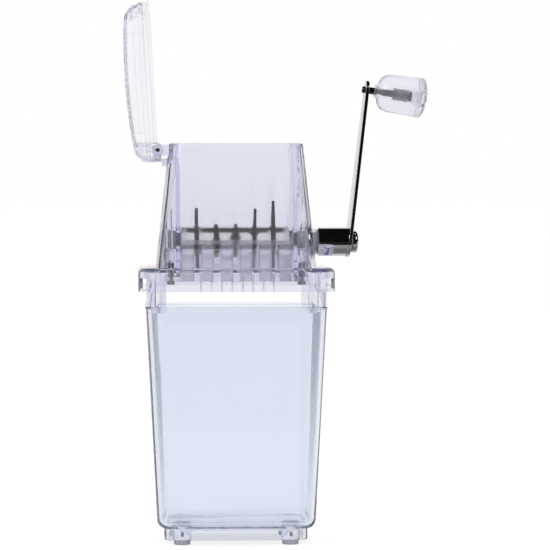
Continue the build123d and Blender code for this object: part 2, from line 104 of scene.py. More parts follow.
def tidyMesh(piece, angle=30, recalc=True):
    enterEdit(piece)
    bpy.ops.mesh.select_all(action="SELECT")
    bpy.ops.mesh.remove_doubles(threshold=mergeGap)
    if recalc:
        bpy.ops.mesh.normals_make_consistent(inside=False)
    leaveEdit()
    bpy.ops.object.shade_smooth_by_angle(angle=math.radians(angle))


def combine(piece, tool, operation):
    bpy.ops.object.select_all(action="DESELECT")
    bpy.context.view_layer.objects.active = piece
    piece.select_set(True)
    modifier = piece.modifiers.new("combine", "BOOLEAN")
    modifier.operation = operation
    modifier.object = tool
    modifier.solver = "EXACT"
    bpy.ops.object.modifier_apply(modifier=modifier.name)
    bpy.data.objects.remove(tool)


def steps(sequence):
    # each step insets the picked face and raises it along +Z, both in mm
    mesh = bmesh.from_edit_mesh(bpy.context.object.data)
    normalZ = [face.normal.z for face in mesh.faces if face.select][0]
    sign = 1 if normalZ > 0 else -1
    for inset, rise in sequence:
        bpy.ops.mesh.inset(thickness=max(inset, leastInset) * mm, depth=sign * rise * mm,
                           use_even_offset=True)


def quarterRound(radius, inwards, rise, count=7):
    # steps of a rounded edge: first mostly along the wall, then mostly inwards, or the other way
    result = []
    for i in range(count):
        a0, a1 = math.pi / 2 * i / count, math.pi / 2 * (i + 1) / count
        along = radius * (math.sin(a1) - math.sin(a0))
        across = radius * (math.cos(a0) - math.cos(a1))
        result.append((across, rise * along) if inwards else (along, rise * across))
    return result


def roundedPlate(name, length, depth, radius, height, segments=12):
    bpy.ops.object.select_all(action="DESELECT")
    bpy.ops.mesh.primitive_plane_add(size=1, location=(0, 0, height * mm))
    plate = bpy.context.object
    plate.name = name
    plate.scale = (length * mm, depth * mm, 1)
    settle(plate)
    enterEdit(plate, "VERT")
    bpy.ops.mesh.select_all(action="SELECT")
    bpy.ops.mesh.bevel(offset=radius * mm, segments=segments, affect="VERTICES")
    leaveEdit()
    return plate


def raisePlate(plate, sequence):
    enterEdit(plate)
    bpy.ops.mesh.select_all(action="SELECT")
    steps(sequence)
    leaveEdit()


def closeBottom(plate, sequence=()):
    # fills the open outline and goes on from there
    enterEdit(plate, "EDGE")
    bpy.ops.mesh.select_non_manifold()
    bpy.ops.mesh.edge_face_add()
    bpy.ops.mesh.select_mode(type="FACE")
    if sequence:
        steps(sequence)
    leaveEdit()


def block(name, low, high, edge=0.0):
    bpy.ops.object.select_all(action="DESELECT")
    centre = [(a + b) / 2 * mm for a, b in zip(low, high)]
    bpy.ops.mesh.primitive_cube_add(size=1, location=centre)
    piece = bpy.context.object
    piece.name = name
    piece.scale = [(b - a) * mm for a, b in zip(low, high)]
    settle(piece)
    if edge:
        enterEdit(piece, "EDGE")
        bpy.ops.mesh.select_all(action="SELECT")
        bpy.ops.mesh.bevel(offset=edge * mm, segments=2, affect="EDGES")
        leaveEdit()
    return piece


def turned(name, profile, place=(0, 0, 0), turn=(0, 0, 0), sides=96, closed=True):
    # profile is (radius, height) in mm, spun about Z and then turned and placed
    bpy.ops.object.select_all(action="DESELECT")
    radius, height = profile[0]
    bpy.ops.mesh.primitive_circle_add(vertices=sides, radius=radius * mm, fill_type="NOTHING",
                                      location=(0, 0, height * mm))
    piece = bpy.context.object
    piece.name = name
    settle(piece)
    enterEdit(piece, "EDGE")
    bpy.ops.mesh.select_all(action="SELECT")
    outline = profile[1:] + ([profile[0]] if closed else [])
    for nextRadius, nextHeight in outline:
        rise = (nextHeight - height) * mm
        bpy.ops.mesh.extrude_region_move(TRANSFORM_OT_translate={"value": (0, 0, rise)})
        ratio = nextRadius / radius if nextRadius else 0.0
        bpy.ops.transform.resize(value=(ratio, ratio, 1), center_override=(0, 0, nextHeight * mm))
        radius, height = nextRadius, nextHeight
    leaveEdit()
    if not closed:
        enterEdit(piece, "EDGE")
        bpy.ops.mesh.select_all(action="SELECT")
        bpy.ops.mesh.remove_doubles(threshold=0.001 * mm)
        bpy.ops.mesh.select_all(action="DESELECT")
        bpy.ops.mesh.select_non_manifold()
        bpy.ops.mesh.edge_face_add()
        leaveEdit()
    piece.rotation_euler = [math.radians(a) for a in turn]
    piece.location = [p * mm for p in place]
    settle(piece)
    tidyMesh(piece)
    return piece


def copyTo(piece, name, shift):
    # a copy with its own mesh, shifted by (x, y) in mm
    bpy.ops.object.select_all(action="DESELECT")
    piece.select_set(True)
    bpy.context.view_layer.objects.active = piece
    bpy.ops.object.duplicate()
    twin = bpy.context.object
    twin.name = name
    twin.location = (shift[0] * mm, shift[1] * mm, 0)
    settle(twin)
    return twin


def softened(node, name, width, cuts=(), segments=2, bevelAngle=35):
    # a welded copy of a CAD solid with its sharp edges broken, as a polished mould leaves them;
    # each cut, an axis and a place in mm, splits the faces that go round an opening
    bpy.ops.object.select_all(action="DESELECT")
    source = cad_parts[node]
    source.select_set(True)
    bpy.context.view_layer.objects.active = source
    bpy.ops.object.duplicate()
    piece = bpy.context.object
    piece.name = name
    settle(piece)
    enterEdit(piece)
    bpy.ops.mesh.select_all(action="SELECT")
    bpy.ops.mesh.remove_doubles(threshold=2 * mergeGap)
    for axis, position in cuts:
        direction = Vector([float(axis == letter) for letter in "xyz"])
        bpy.ops.mesh.select_all(action="SELECT")
        bpy.ops.mesh.bisect(plane_co=direction * position * mm, plane_no=direction)
        bpy.ops.mesh.mark_seam()
    bpy.ops.mesh.select_all(action="SELECT")
    bpy.ops.mesh.dissolve_limited(angle_limit=math.radians(0.5), delimit={"SEAM"})
    leaveEdit()
    modifier = piece.modifiers.new("edges", "BEVEL")
    modifier.width = width * mm
    modifier.segments = segments
    modifier.limit_method = "ANGLE"
    modifier.angle_limit = math.radians(bevelAngle)
    modifier.use_clamp_overlap = False
    bpy.ops.object.modifier_apply(modifier=modifier.name)
    bpy.ops.object.shade_smooth_by_angle(angle=math.radians(30))
    modifier = piece.modifiers.new("normals", "WEIGHTED_NORMAL")
    modifier.keep_sharp = True
    bpy.ops.object.modifier_apply(modifier=modifier.name)
    return piece


def finishPiece(piece, body, nodes, material):
    piece.data.materials.clear()
    piece.data.materials.append(material)
    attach(piece, body)
    if nodes:
        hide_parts(*nodes)


def dressNode(name, material):
    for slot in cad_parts[name].material_slots:
        slot.material = material


# the camera stands where the photograph's did
view = {"away": 2200, "height": 235, "yaw": 2.4, "tilt": 1.631, "aside": 26, "lens": 221.6, "sensor": 36,
        "far": 60}
yaw = math.radians(view["yaw"])
bpy.ops.object.camera_add(
    location=((view["aside"] - view["away"] * math.sin(yaw)) * mm,
              -view["away"] * math.cos(yaw) * mm, view["height"] * mm),
    rotation=(math.radians(90 - view["tilt"]), 0, -yaw))
camera = bpy.context.object
camera.name = "photoCamera"
camera.data.lens = view["lens"]
camera.data.sensor_width = view["sensor"]
camera.data.clip_end = view["far"]  # metres, so that the floor reaches the horizon
bpy.context.scene.camera = camera
print("camera placed")

# clear injection moulded polystyrene: glossy, a hint of lavender, darker where it is seen edge on
clearLook = {"tint": "#F2F6FC", "roughness": 0.02, "ior": 1.52, "depthColour": "#CDCDF0", "density": 12.0,
             "wavinessMm": 22.0, "waviness": 0.03, "stretch": 1.0, "through": 0.985}
handling = {"wearMm": 6.0, "leastRough": 0.5, "mostRough": 1.8, "waveMm": 0.5}  # shared by all clear parts


def clearStyrene(name, look):
    material = bpy.data.materials.new(name)
    material.use_nodes = True
    tree = material.node_tree
    shader = tree.nodes["Principled BSDF"]
    shader.inputs["Base Color"].default_value = (*linear(look["tint"]), 1)
    shader.inputs["Transmission Weight"].default_value = look["through"]
    shader.inputs["IOR"].default_value = look["ior"]
    place = addNode(tree, "ShaderNodeTexCoord").outputs["Object"]
    wear = addNode(tree, "ShaderNodeTexNoise", {"Scale": 1 / (handling["wearMm"] * mm), "Detail": 4.0},
                   {"Vector": place})
    rough = addNode(tree, "ShaderNodeMapRange", {"To Min": look["roughness"] * handling["leastRough"],
                                                 "To Max": look["roughness"] * handling["mostRough"]},
                    {"Value": wear.outputs["Fac"]})
    tree.links.new(rough.outputs["Result"], shader.inputs["Roughness"])
    upwards = addNode(tree, "ShaderNodeMapping", {"Scale": (1.0, 1.0, look["stretch"])}, {"Vector": place})
    flow = addNode(tree, "ShaderNodeTexNoise", {"Scale": 1 / (look["wavinessMm"] * mm), "Detail": 1.0},
                   {"Vector": upwards.outputs["Vector"]})
    bump = addNode(tree, "ShaderNodeBump",
                   {"Strength": look["waviness"], "Distance": handling["waveMm"] * mm},
                   {"Height": flow.outputs["Fac"]})
    tree.links.new(bump.outputs["Normal"], shader.inputs["Normal"])
    depth = addNode(tree, "ShaderNodeVolumeAbsorption",
                    {"Color": (*linear(look["depthColour"]), 1), "Density": look["density"]})
    tree.links.new(depth.outputs["Volume"], tree.nodes["Material Output"].inputs["Volume"])
    return material


clearBin = clearStyrene("clearMouldedStyrene", clearLook)

# the head is thicker in places, and its mould flow lines run up the walls as fine streaks
headLook = {"tint": "#F8F9FF", "roughness": 0.02, "ior": 1.52, "depthColour": "#C6C6EA", "density": 14.0,
            "wavinessMm": 6.0, "waviness": 0.35, "stretch": 0.10, "through": 0.97}
clearHead = clearStyrene("clearFlowMarkedStyrene", headLook)

# the lid's wall is thin, so it hardly colours what stands behind it
lidLook = {"tint": "#FDFDFF", "roughness": 0.02, "ior": 1.40, "depthColour": "#CDD0EC", "density": 8.0,
           "wavinessMm": 18.0, "waviness": 0.04, "stretch": 1.0, "through": 0.985}
clearLid = clearStyrene("clearThinWallStyrene", lidLook)

# the combs are the same plastic with an etched, slightly frosted skin
combLook = {"tint": "#F7F5FC", "roughness": 0.12, "ior": 1.5, "depthColour": "#CBCAE2", "density": 8.0,
            "wavinessMm": 5.0, "waviness": 0.10, "stretch": 1.0, "through": 0.95}
frostedStyrene = clearStyrene("frostedMouldedStyrene", combLook)

# painted shade: the base colour is darkened in the recesses of the comb windows, standing in for the shadow
# that falls there
windowPaintedShade = {"bottom": 189.5, "top": 193.1, "outer": 35.9, "shade": 0.50}


def paintWindowShade(material, look):
    tree = material.node_tree
    shader = tree.nodes["Principled BSDF"]
    place = addNode(tree, "ShaderNodeTexCoord")
    spot = addNode(tree, "ShaderNodeSeparateXYZ", None, {"Vector": place.outputs["Object"]})
    above = addNode(tree, "ShaderNodeMath", {"operation": "GREATER_THAN", 1: look["bottom"] * mm},
                    {0: spot.outputs["Z"]})
    below = addNode(tree, "ShaderNodeMath", {"operation": "LESS_THAN", 1: look["top"] * mm},
                    {0: spot.outputs["Z"]})
    depth = addNode(tree, "ShaderNodeMath", {"operation": "ABSOLUTE"}, {0: spot.outputs["Y"]})
    inside = addNode(tree, "ShaderNodeMath", {"operation": "LESS_THAN", 1: look["outer"] * mm},
                     {0: depth.outputs[0]})
    band = addNode(tree, "ShaderNodeMath", {"operation": "MULTIPLY"},
                   {0: above.outputs[0], 1: below.outputs[0]})
    paintedShadeMask = addNode(tree, "ShaderNodeMath", {"operation": "MULTIPLY"},
                   {0: band.outputs[0], 1: inside.outputs[0]})
    base = shader.inputs["Base Color"].default_value[:3]
    # painted shade: inside the window recesses the base colour is multiplied by the shade factor
    tint = blend(tree, paintedShadeMask.outputs[0], base, [c * look["shade"] for c in base])
    tree.links.new(tint, shader.inputs["Base Color"])


paintWindowShade(frostedStyrene, windowPaintedShade)

# the knob is turned from thicker stock and slightly hazy from handling
knobLook = {"tint": "#FBFBFF", "roughness": 0.12, "ior": 1.46, "depthColour": "#D4D4EC", "density": 10.0,
            "wavinessMm": 12.0, "waviness": 0.02, "stretch": 1.0, "through": 0.93}
clearAcrylic = clearStyrene("clearTurnedAcrylic", knobLook)

# plated and bare steels and turned aluminium: some nearly a mirror with faint wipe marks, some finely grained
metalLooks = {
    "polishedChrome": {"colour": "#C9C9CE", "roughness": 0.07, "grainMm": 3.0, "spread": 0.05, "bump": 0.01},
    "turnedAluminium": {"colour": "#E4E2DE", "roughness": 0.24, "grainMm": 0.8, "spread": 0.12, "bump": 0.05},
    "stampedDarkSteel": {"colour": "#2B2B2E", "roughness": 0.35, "grainMm": 0.9, "spread": 0.15,
                         "bump": 0.08},
    "oilBlackenedSteel": {"colour": "#4A4A4F", "roughness": 0.16, "grainMm": 0.9, "spread": 0.08,
                          "bump": 0.03},
    "drawnSteel": {"colour": "#8C8D91", "roughness": 0.28, "grainMm": 0.9, "spread": 0.12, "bump": 0.04},
}
metalGrain = {"stretch": 0.12, "dark": 0.9, "light": 1.08, "reliefMm": 0.05}  # the grain runs front to back


def metal(name, look):
    material = bpy.data.materials.new(name)
    material.use_nodes = True
    tree = material.node_tree
    shader = tree.nodes["Principled BSDF"]
    shader.inputs["Metallic"].default_value = 1.0
    place = addNode(tree, "ShaderNodeTexCoord")
    stretch = addNode(tree, "ShaderNodeMapping", {"Scale": (1.0, metalGrain["stretch"], 1.0)},
                      {"Vector": place.outputs["Object"]})
    grain = addNode(tree, "ShaderNodeTexNoise", {"Scale": 1 / (look["grainMm"] * mm), "Detail": 5.0},
                    {"Vector": stretch.outputs["Vector"]})
    half = look["spread"] / 2
    rough = addNode(tree, "ShaderNodeMapRange",
                    {"To Min": look["roughness"] - half, "To Max": look["roughness"] + half},
                    {"Value": grain.outputs["Fac"]})
    tree.links.new(rough.outputs["Result"], shader.inputs["Roughness"])
    base = linear(look["colour"])
    shade = blend(tree, grain.outputs["Fac"], [c * metalGrain["dark"] for c in base],
                  [c * metalGrain["light"] for c in base])
    tree.links.new(shade, shader.inputs["Base Color"])
    bump = addNode(tree, "ShaderNodeBump",
                   {"Strength": look["bump"], "Distance": metalGrain["reliefMm"] * mm},
                   {"Height": grain.outputs["Fac"]})
    tree.links.new(bump.outputs["Normal"], shader.inputs["Normal"])
    return material


metals = {name: metal(name, look) for name, look in metalLooks.items()}

# soft clear vinyl feet, white acetal bushes and a smoky thread insert: satin plastics
plasticLooks = {
    "softVinyl": {"colour": "#E2E2F0", "roughness": 0.42, "grainMm": 1.2, "transmission": 0.5},
    "whiteAcetal": {"colour": "#D9D9DD", "roughness": 0.38, "grainMm": 1.0, "transmission": 0.0},
    "smokedThreadInsert": {"colour": "#CDCDD8", "roughness": 0.30, "grainMm": 0.8, "transmission": 0.75},
}
plasticGrain = {"ior": 1.48, "spread": 0.08, "dark": 0.92, "light": 1.05, "strength": 0.05, "reliefMm": 0.1}


def plastic(name, look):
    material = bpy.data.materials.new(name)
    material.use_nodes = True
    tree = material.node_tree
    shader = tree.nodes["Principled BSDF"]
    shader.inputs["Transmission Weight"].default_value = look["transmission"]
    shader.inputs["IOR"].default_value = plasticGrain["ior"]
    place = addNode(tree, "ShaderNodeTexCoord")
    grain = addNode(tree, "ShaderNodeTexNoise", {"Scale": 1 / (look["grainMm"] * mm), "Detail": 3.0},
                    {"Vector": place.outputs["Object"]})
    rough = addNode(tree, "ShaderNodeMapRange", {"To Min": look["roughness"] - plasticGrain["spread"],
                                                 "To Max": look["roughness"] + plasticGrain["spread"]},
                    {"Value": grain.outputs["Fac"]})
    tree.links.new(rough.outputs["Result"], shader.inputs["Roughness"])
    base = linear(look["colour"])
    shade = blend(tree, grain.outputs["Fac"], [c * plasticGrain["dark"] for c in base],
                  [c * plasticGrain["light"] for c in base])
    tree.links.new(shade, shader.inputs["Base Color"])
    bump = addNode(tree, "ShaderNodeBump",
                   {"Strength": plasticGrain["strength"], "Distance": plasticGrain["reliefMm"] * mm},
                   {"Height": grain.outputs["Fac"]})
    tree.links.new(bump.outputs["Normal"], shader.inputs["Normal"])
    return material


plastics = {name: plastic(name, look) for name, look in plasticLooks.items()}
print("materials ready")

# the bead under the rim, the rim and its inner edge are steps of (inset, rise)
binSize = {"length": 116.0, "depth": 96.0, "corner": 15.5, "rim": 153.0, "bottom": 10.5, "draft": 3.0,
           "wall": 2.6, "floor": 3.0, "outerRound": 6.5, "innerRound": 4.5, "bead": 0.55,
           "beadUnder": [(0.0, -0.3), (0.15, -0.3), (0.40, -0.2)],
           "rimOver": [(0.05, 0.4), (0.15, 0.3), (0.35, 0.2)], "rimInside": [(0.3, -0.15), (0.1, -0.35)]}


def total(sequence, column):
    return sum(step[column] for step in sequence)


def makeBin(size):
    slope = math.tan(math.radians(size["draft"]))
    bead = size["bead"]
    start = size["rim"] - total(size["rimOver"], 1)
    shell = roundedPlate("binShell", size["length"] + 2 * bead, size["depth"] + 2 * bead,
                         size["corner"] + bead, start)
    wallDrop = start + total(size["beadUnder"], 1) - size["bottom"] - size["outerRound"]
    down = size["beadUnder"] + [(wallDrop * slope, -wallDrop)] + quarterRound(size["outerRound"], True, -1)
    raisePlate(shell, down)
    flat = size["wall"] + bead - total(size["rimOver"], 0) - total(size["rimInside"], 0)
    innerTop = size["rim"] + total(size["rimInside"], 1)
    innerDrop = innerTop - size["bottom"] - size["floor"] - size["innerRound"]
    up = size["rimOver"] + [(flat, 0.0)] + size["rimInside"] + [(innerDrop * slope, -innerDrop)]
    closeBottom(shell, up + quarterRound(size["innerRound"], True, -1, 6))
    tidyMesh(shell)
    return shell


plinthSize = {"length": 92.0, "depth": 62.0, "corner": 10.0, "wall": 2.4, "top": 11.6, "bottom": 3.0,
              "roof": 1.6, "outerLip": 0.4, "innerLip": 0.3, "lipDrop": 0.3, "bossRadius": 5.9,
              "bossTop": 12.0}
footPlaces = [(-34.8, -27.0), (34.8, -27.0), (34.8, 27.0), (-34.8, 27.0)]


def addPlinth(shell, size):
    high = size["top"] - size["bottom"]
    ring = roundedPlate("plinth", size["length"], size["depth"], size["corner"], size["bottom"])
    raisePlate(ring, [(0.0, 0.01), (0.0, high)])
    flat = size["wall"] - size["outerLip"] - size["innerLip"]
    closeBottom(ring, [(size["outerLip"], -size["lipDrop"]), (flat, 0.0), (size["innerLip"], size["lipDrop"]),
                       (0.0, high - size["roof"])])
    combine(shell, ring, "UNION")
    bossOutline = [(size["bossRadius"], size["bottom"]), (size["bossRadius"], size["bossTop"]),
                   (0.0, size["bossTop"])]
    for x, y in footPlaces:
        combine(shell, turned("boss", bossOutline, (x, y, 0), closed=False), "UNION")
    tidyMesh(shell)


binShell = makeBin(binSize)
addPlinth(binShell, plinthSize)
finishPiece(binShell, "bin", ["bin_shell"], clearBin)

footOutline = [(4.4, 0.0), (4.9, 0.15), (5.2, 0.45), (5.3, 0.9), (5.3, 2.9), (0.0, 2.9)]
footPads = [turned("footPad1", footOutline, (*footPlaces[0], 0), sides=64, closed=False)]
for number, (x, y) in enumerate(footPlaces[1:], start=2):
    footPads.append(copyTo(footPads[0], f"footPad{number}", (x - footPlaces[0][0], y - footPlaces[0][1])))
for number, foot in enumerate(footPads, start=1):
    finishPiece(foot, "bin", [f"foot_pad_{number}"], plastics["softVinyl"])
print("bin made")

# the flange's front and back bow outwards a little
flangeSize = {"length": 126.0, "depth": 108.0, "bow": 4.0, "bowCuts": 15, "corner": 14.0, "wall": 2.8,
              "bottom": 163.0, "top": 178.0, "plate": 3.0, "round": 3.6}
hopperSize = {"length": 103.0, "depth": 82.8, "corner": 18.0, "draft": 6.1, "wall": 2.5, "foot": 175.5,
              "rim": 257.6, "partition": (36.0, 38.5), "partitionBottom": 172.0, "webBottom": 255.2,
              "webStart": 37.0, "trim": 1.2, "wide": 60.0}
bossSize = {"x": 42.0, "y": 28.0, "radius": 4.0, "bottom": 172.0, "top": 190.0, "ease": 0.4}
bearingSize = {"z": 194.0, "bore": 6.5, "outside": 8.5, "start": 36.4, "right": 52.6, "left": 47.3,
               "blind": 46.0, "cutStart": 30.0, "cutEnd": 56.0, "ease": 0.3}
rightwards, leftwards = (0, 90, 0), (0, -90, 0)
pocketRibs = {"x": (40.2, 43.4), "thickness": 1.1, "bottom": 176.0, "top": 246.0, "middle": 30.5, "edge": 0.2}
tongueSize = {"length": 108.4, "depth": 88.4, "corner": 13.0, "bottom": 149.0, "high": 26.8, "ease": 0.3,
              "wall": 2.2, "roof": 175.2, "startX": 45.0, "startY": 35.0}
lugSize = {"x": (52.4, 57.5), "y": 36.5, "half": 1.5, "bottom": 153.0, "top": 175.6, "edge": 0.3}
hingeSize = {"x": -50.3, "z": 253.3, "spans": ((-28.0, -18.0), (18.0, 28.0)), "radius": 3.5, "bore": 1.25,
             "ease": 0.3, "clear": 3.0, "wallX": -42.6, "armHalf": 3.5}
stopSize = {"low": (-47.4, -8.0, 243.0), "high": (-42.6, 8.0, 248.0), "edge": 0.3}
windowSize = {"x": (53.3, 60.0), "y": (36.5, 56.0), "z": (165.0, 171.4)}
skirtRibs = {"count": 8, "pitch": 6.6, "half": 0.6, "y": (47.7, 51.6), "z": (163.5, 175.5), "edge": 0.15}
mouldMark = {"x": 49.7, "z": 166.5, "outline": [(1.35, 49.6), (1.5, 49.8), (1.5, 56.0), (0.0, 56.0)]}


def sideSpan(side, span):
    # the span on the left (-1) or right (1) side, low end first
    return sorted(side * end for end in span)


def makeFlange(size):
    endDepth = size["depth"] - 2 * size["bow"]
    flange = roundedPlate("headHousing", size["length"], endDepth, size["corner"], size["bottom"])
    half = size["length"] / 2
    straightY = endDepth / 2 - size["corner"]
    enterEdit(flange, "EDGE")
    pick(lambda p, e: abs(p.x) < 1 and abs(p.y) > straightY, "edges")
    bpy.ops.mesh.subdivide(number_cuts=size["bowCuts"])
    leaveEdit()
    cuts = sorted({round(v.co.x / mm, 3) for v in flange.data.vertices if abs(v.co.x) / mm < half})
    for side in (-1, 1):
        for x in cuts:
            enterEdit(flange, "VERT")
            pick(lambda p, v: abs(p.x - x) < 0.01 and p.y * side > straightY, "verts")
            lift = size["bow"] * (1 - (x / half) ** 2)
            bpy.ops.transform.translate(value=(0, side * lift * mm, 0))
            leaveEdit()
    wallHigh = size["top"] - size["bottom"]
    straightUp = [(0.0, 0.5), (0.0, wallHigh - size["round"] - 0.5)]
    raisePlate(flange, straightUp + quarterRound(size["round"], True, 1))
    closeBottom(flange, [(0.4, 0.0), (size["wall"] - 0.4, 0.0), (0.0, wallHigh - size["plate"])])
    tidyMesh(flange)
    return flange


def hopperBlock(name, size, inset, low, high, top=()):
    # a block with the hopper's draft; inset moves its walls inwards from the outside
    slope = math.tan(math.radians(size["draft"]))
    growth = (flangeSize["top"] - low) * slope - inset
    plate = roundedPlate(name, size["length"] + 2 * growth, size["depth"] + 2 * growth,
                         size["corner"] + growth, low)
    raisePlate(plate, [((high - low) * slope, high - low)] + list(top))
    closeBottom(plate)
    tidyMesh(plate)
    return plate


def addTrimmed(head, size, name, spanX, spanZ):
    # an upright plate from front to back, trimmed to end inside the hopper's walls
    (x0, x1), (z0, z1) = spanX, spanZ
    plate = block(name, (x0, -size["wide"], z0), (x1, size["wide"], z1))
    combine(plate, hopperBlock("trim", size, size["trim"], 171.0, size["rim"] + 1), "INTERSECT")
    combine(head, plate, "UNION")


def makeHead():
    head = makeFlange(flangeSize)
    size, rim = hopperSize, hopperSize["rim"]
    outside = hopperBlock("outside", size, 0, size["foot"], rim - 0.5, [(0.12, 0.3), (0.38, 0.2)])
    combine(head, outside, "UNION")
    combine(head, hopperBlock("inside", size, size["wall"], 170.0, rim + 1), "DIFFERENCE")
    boss = bossSize
    bossOutline = [(boss["radius"], boss["bottom"]), (boss["radius"], boss["top"] - boss["ease"]),
                   (boss["radius"] - boss["ease"], boss["top"]), (0.0, boss["top"])]
    wallSpanZ, webSpanZ = (size["partitionBottom"], rim - 0.02), (size["webBottom"], rim - 0.02)
    for side in (-1, 1):
        addTrimmed(head, size, "partition", sideSpan(side, size["partition"]), wallSpanZ)
        addTrimmed(head, size, "web", sideSpan(side, (size["webStart"], size["wide"])), webSpanZ)
        for y in (-boss["y"], boss["y"]):
            place = (side * boss["x"], y, 0)
            combine(head, turned("boss", bossOutline, place, sides=48, closed=False), "UNION")
    print("head walls made")
    return head


def addBearings(head, size):
    # the right tube is open, the left one is blind
    axle = (0, 0, size["z"])
    bore, outside, start, right, ease = (size[key] for key in ("bore", "outside", "start", "right", "ease"))
    tubeOutline = [(bore, start), (outside, start), (outside, right - ease), (outside - ease, right),
                   (bore, right)]
    tube = turned("tube", tubeOutline, axle, rightwards)
    through = [(bore, size["cutStart"]), (bore, size["cutEnd"]), (0.0, size["cutEnd"])]
    combine(head, turned("bore", through, axle, rightwards, closed=False), "DIFFERENCE")
    combine(head, tube, "UNION")
    socket = [(outside, start), (outside, size["left"]), (0.0, size["left"])]
    combine(head, turned("tube", socket, axle, leftwards, closed=False), "UNION")
    blind = [(bore, size["cutStart"]), (bore, size["blind"]), (0.0, size["blind"])]
    combine(head, turned("bore", blind, axle, leftwards, closed=False), "DIFFERENCE")


def addPocketRibs(head, size):
    # fine upright ribs stiffen the corner pockets; they stop short of the rim
    wide = hopperSize["wide"]
    low, high = (-wide, -size["middle"], 170), (wide, size["middle"], 250)
    for side in (-1, 1):
        for x in size["x"]:
            x0, x1 = sideSpan(side, (x, x + size["thickness"]))
            rib = block("rib", (x0, -wide, size["bottom"]), (x1, wide, size["top"]), size["edge"])
            combine(rib, block("middle", low, high), "DIFFERENCE")
            trim = hopperBlock("trim", hopperSize, hopperSize["trim"], 171.0, hopperSize["rim"])
            combine(rib, trim, "INTERSECT")
            combine(head, rib, "UNION")


def addTongues(head, size):
    # what is left of a ring at its four corners reaches into the bin
    ring = roundedPlate("tongues", size["length"], size["depth"], size["corner"], size["bottom"])
    rise = size["high"] - size["ease"]
    raisePlate(ring, [(0.0, size["ease"]), (0.0, rise)])
    closeBottom(ring, [(size["ease"], 0.0), (size["wall"] - size["ease"], 0.0), (0.0, rise - 0.4)])
    tidyMesh(ring)
    startX, startY, roof, wide = size["startX"], size["startY"], size["roof"], hopperSize["wide"]
    combine(ring, block("gapX", (-startX, -wide, 140), (startX, wide, 180)), "DIFFERENCE")
    combine(ring, block("gapY", (-wide, -startY, 140), (wide, startY, 180)), "DIFFERENCE")
    combine(ring, block("ceiling", (-wide, -wide, roof), (wide, wide, 180)), "DIFFERENCE")
    combine(head, ring, "UNION")


def addLugs(head, size):
    # the head stands on the bin's rim on these
    for side in (-1, 1):
        x0, x1 = sideSpan(side, size["x"])
        for y in (-size["y"], size["y"]):
            low, high = (x0, y - size["half"], size["bottom"]), (x1, y + size["half"], size["top"])
            combine(head, block("lug", low, high, size["edge"]), "UNION")


def addHinge(head, size):
    pin, ease, radius = (size["x"], 0, size["z"]), size["ease"], size["radius"]
    for y0, y1 in size["spans"]:
        outline = [(size["bore"], y0), (radius - ease, y0), (radius, y0 + ease), (radius, y1 - ease),
                   (radius - ease, y1), (size["bore"], y1)]
        knuckle = turned("knuckle", outline, pin, (-90, 0, 0), sides=64)
        arm = block("bracket", (size["x"], y0 + ease, size["z"] - size["armHalf"]),
                    (size["wallX"], y1 - ease, size["z"] + size["armHalf"]))
        clear = [(size["clear"], y0 - 1), (size["clear"], y1 + 1), (0.0, y1 + 1)]
        combine(arm, turned("clear", clear, pin, (-90, 0, 0), sides=64, closed=False), "DIFFERENCE")
        combine(knuckle, arm, "UNION")
        combine(head, knuckle, "UNION")
    combine(head, block("stop", stopSize["low"], stopSize["high"], stopSize["edge"]), "UNION")


def addWindows(head, size):
    for sideX in (-1, 1):
        for sideY in (-1, 1):
            (x0, x1), (y0, y1), (z0, z1) = sideSpan(sideX, size["x"]), sideSpan(sideY, size["y"]), size["z"]
            combine(head, block("window", (x0, y0, z0), (x1, y1, z1)), "DIFFERENCE")


def addSkirtRibs(head, size):
    z0, z1 = size["z"]
    for sideY in (-1, 1):
        y0, y1 = sideSpan(sideY, size["y"])
        for number in range(size["count"]):
            x = (number - (size["count"] - 1) / 2) * size["pitch"]
            rib = block("rib", (x - size["half"], y0, z0), (x + size["half"], y1, z1), size["edge"])
            combine(head, rib, "UNION")


headHousing = makeHead()
addBearings(headHousing, bearingSize)
addPocketRibs(headHousing, pocketRibs)
addTongues(headHousing, tongueSize)
addLugs(headHousing, lugSize)
addHinge(headHousing, hingeSize)
addWindows(headHousing, windowSize)
addSkirtRibs(headHousing, skirtRibs)
mark = turned("mouldMark", mouldMark["outline"], (mouldMark["x"], 0, mouldMark["z"]), (90, 0, 0), sides=48,
              closed=False)
combine(headHousing, mark, "DIFFERENCE")
tidyMesh(headHousing, recalc=False)
finishPiece(headHousing, "head", ["head_housing"], clearHead)
print("head made")

pinOutline = [(0.9, -35.5), (1.25, -35.2), (1.25, 35.2), (0.9, 35.5), (0.0, 35.5)]
hingePlace = (hingeSize["x"], 0, hingeSize["z"])
hingePin = turned("hingePin", pinOutline, hingePlace, (-90, 0, 0), sides=48, closed=False)
finishPiece(hingePin, "head", ["hinge_pin"], metals["drawnSteel"])

axle = (0, 0, bearingSize["z"])
bushOutlines = {
    "right": [(4.55, 36.0), (6.45, 36.0), (6.45, 52.6), (7.7, 52.6), (8.0, 52.8), (8.0, 53.2), (7.8, 53.4),
              (4.75, 53.4), (4.55, 53.2)],
    "left": [(4.55, 35.4), (4.75, 35.2), (7.8, 35.2), (8.0, 35.4), (8.0, 35.9), (7.9, 36.0), (6.45, 36.0),
             (6.45, 46.0), (4.55, 46.0)],
}
bushRight = turned("bushRight", bushOutlines["right"], axle, rightwards)
finishPiece(bushRight, "head", ["bush_right"], plastics["whiteAcetal"])
bushLeft = turned("bushLeft", bushOutlines["left"], axle, leftwards)
finishPiece(bushLeft, "head", ["bush_left"], plastics["whiteAcetal"])

combSize = {"edge": 0.2, "windowMiddle": 191.35}
for node, name, y in (("front_comb", "frontComb", -bossSize["y"]), ("rear_comb", "rearComb", bossSize["y"])):
    comb = softened(node, name, combSize["edge"], [("z", combSize["windowMiddle"]), ("y", y)])
    finishPiece(comb, "head", [node], frostedStyrene)
dressNode("comb_screws", metals["drawnSteel"])
print("bearings and combs made")

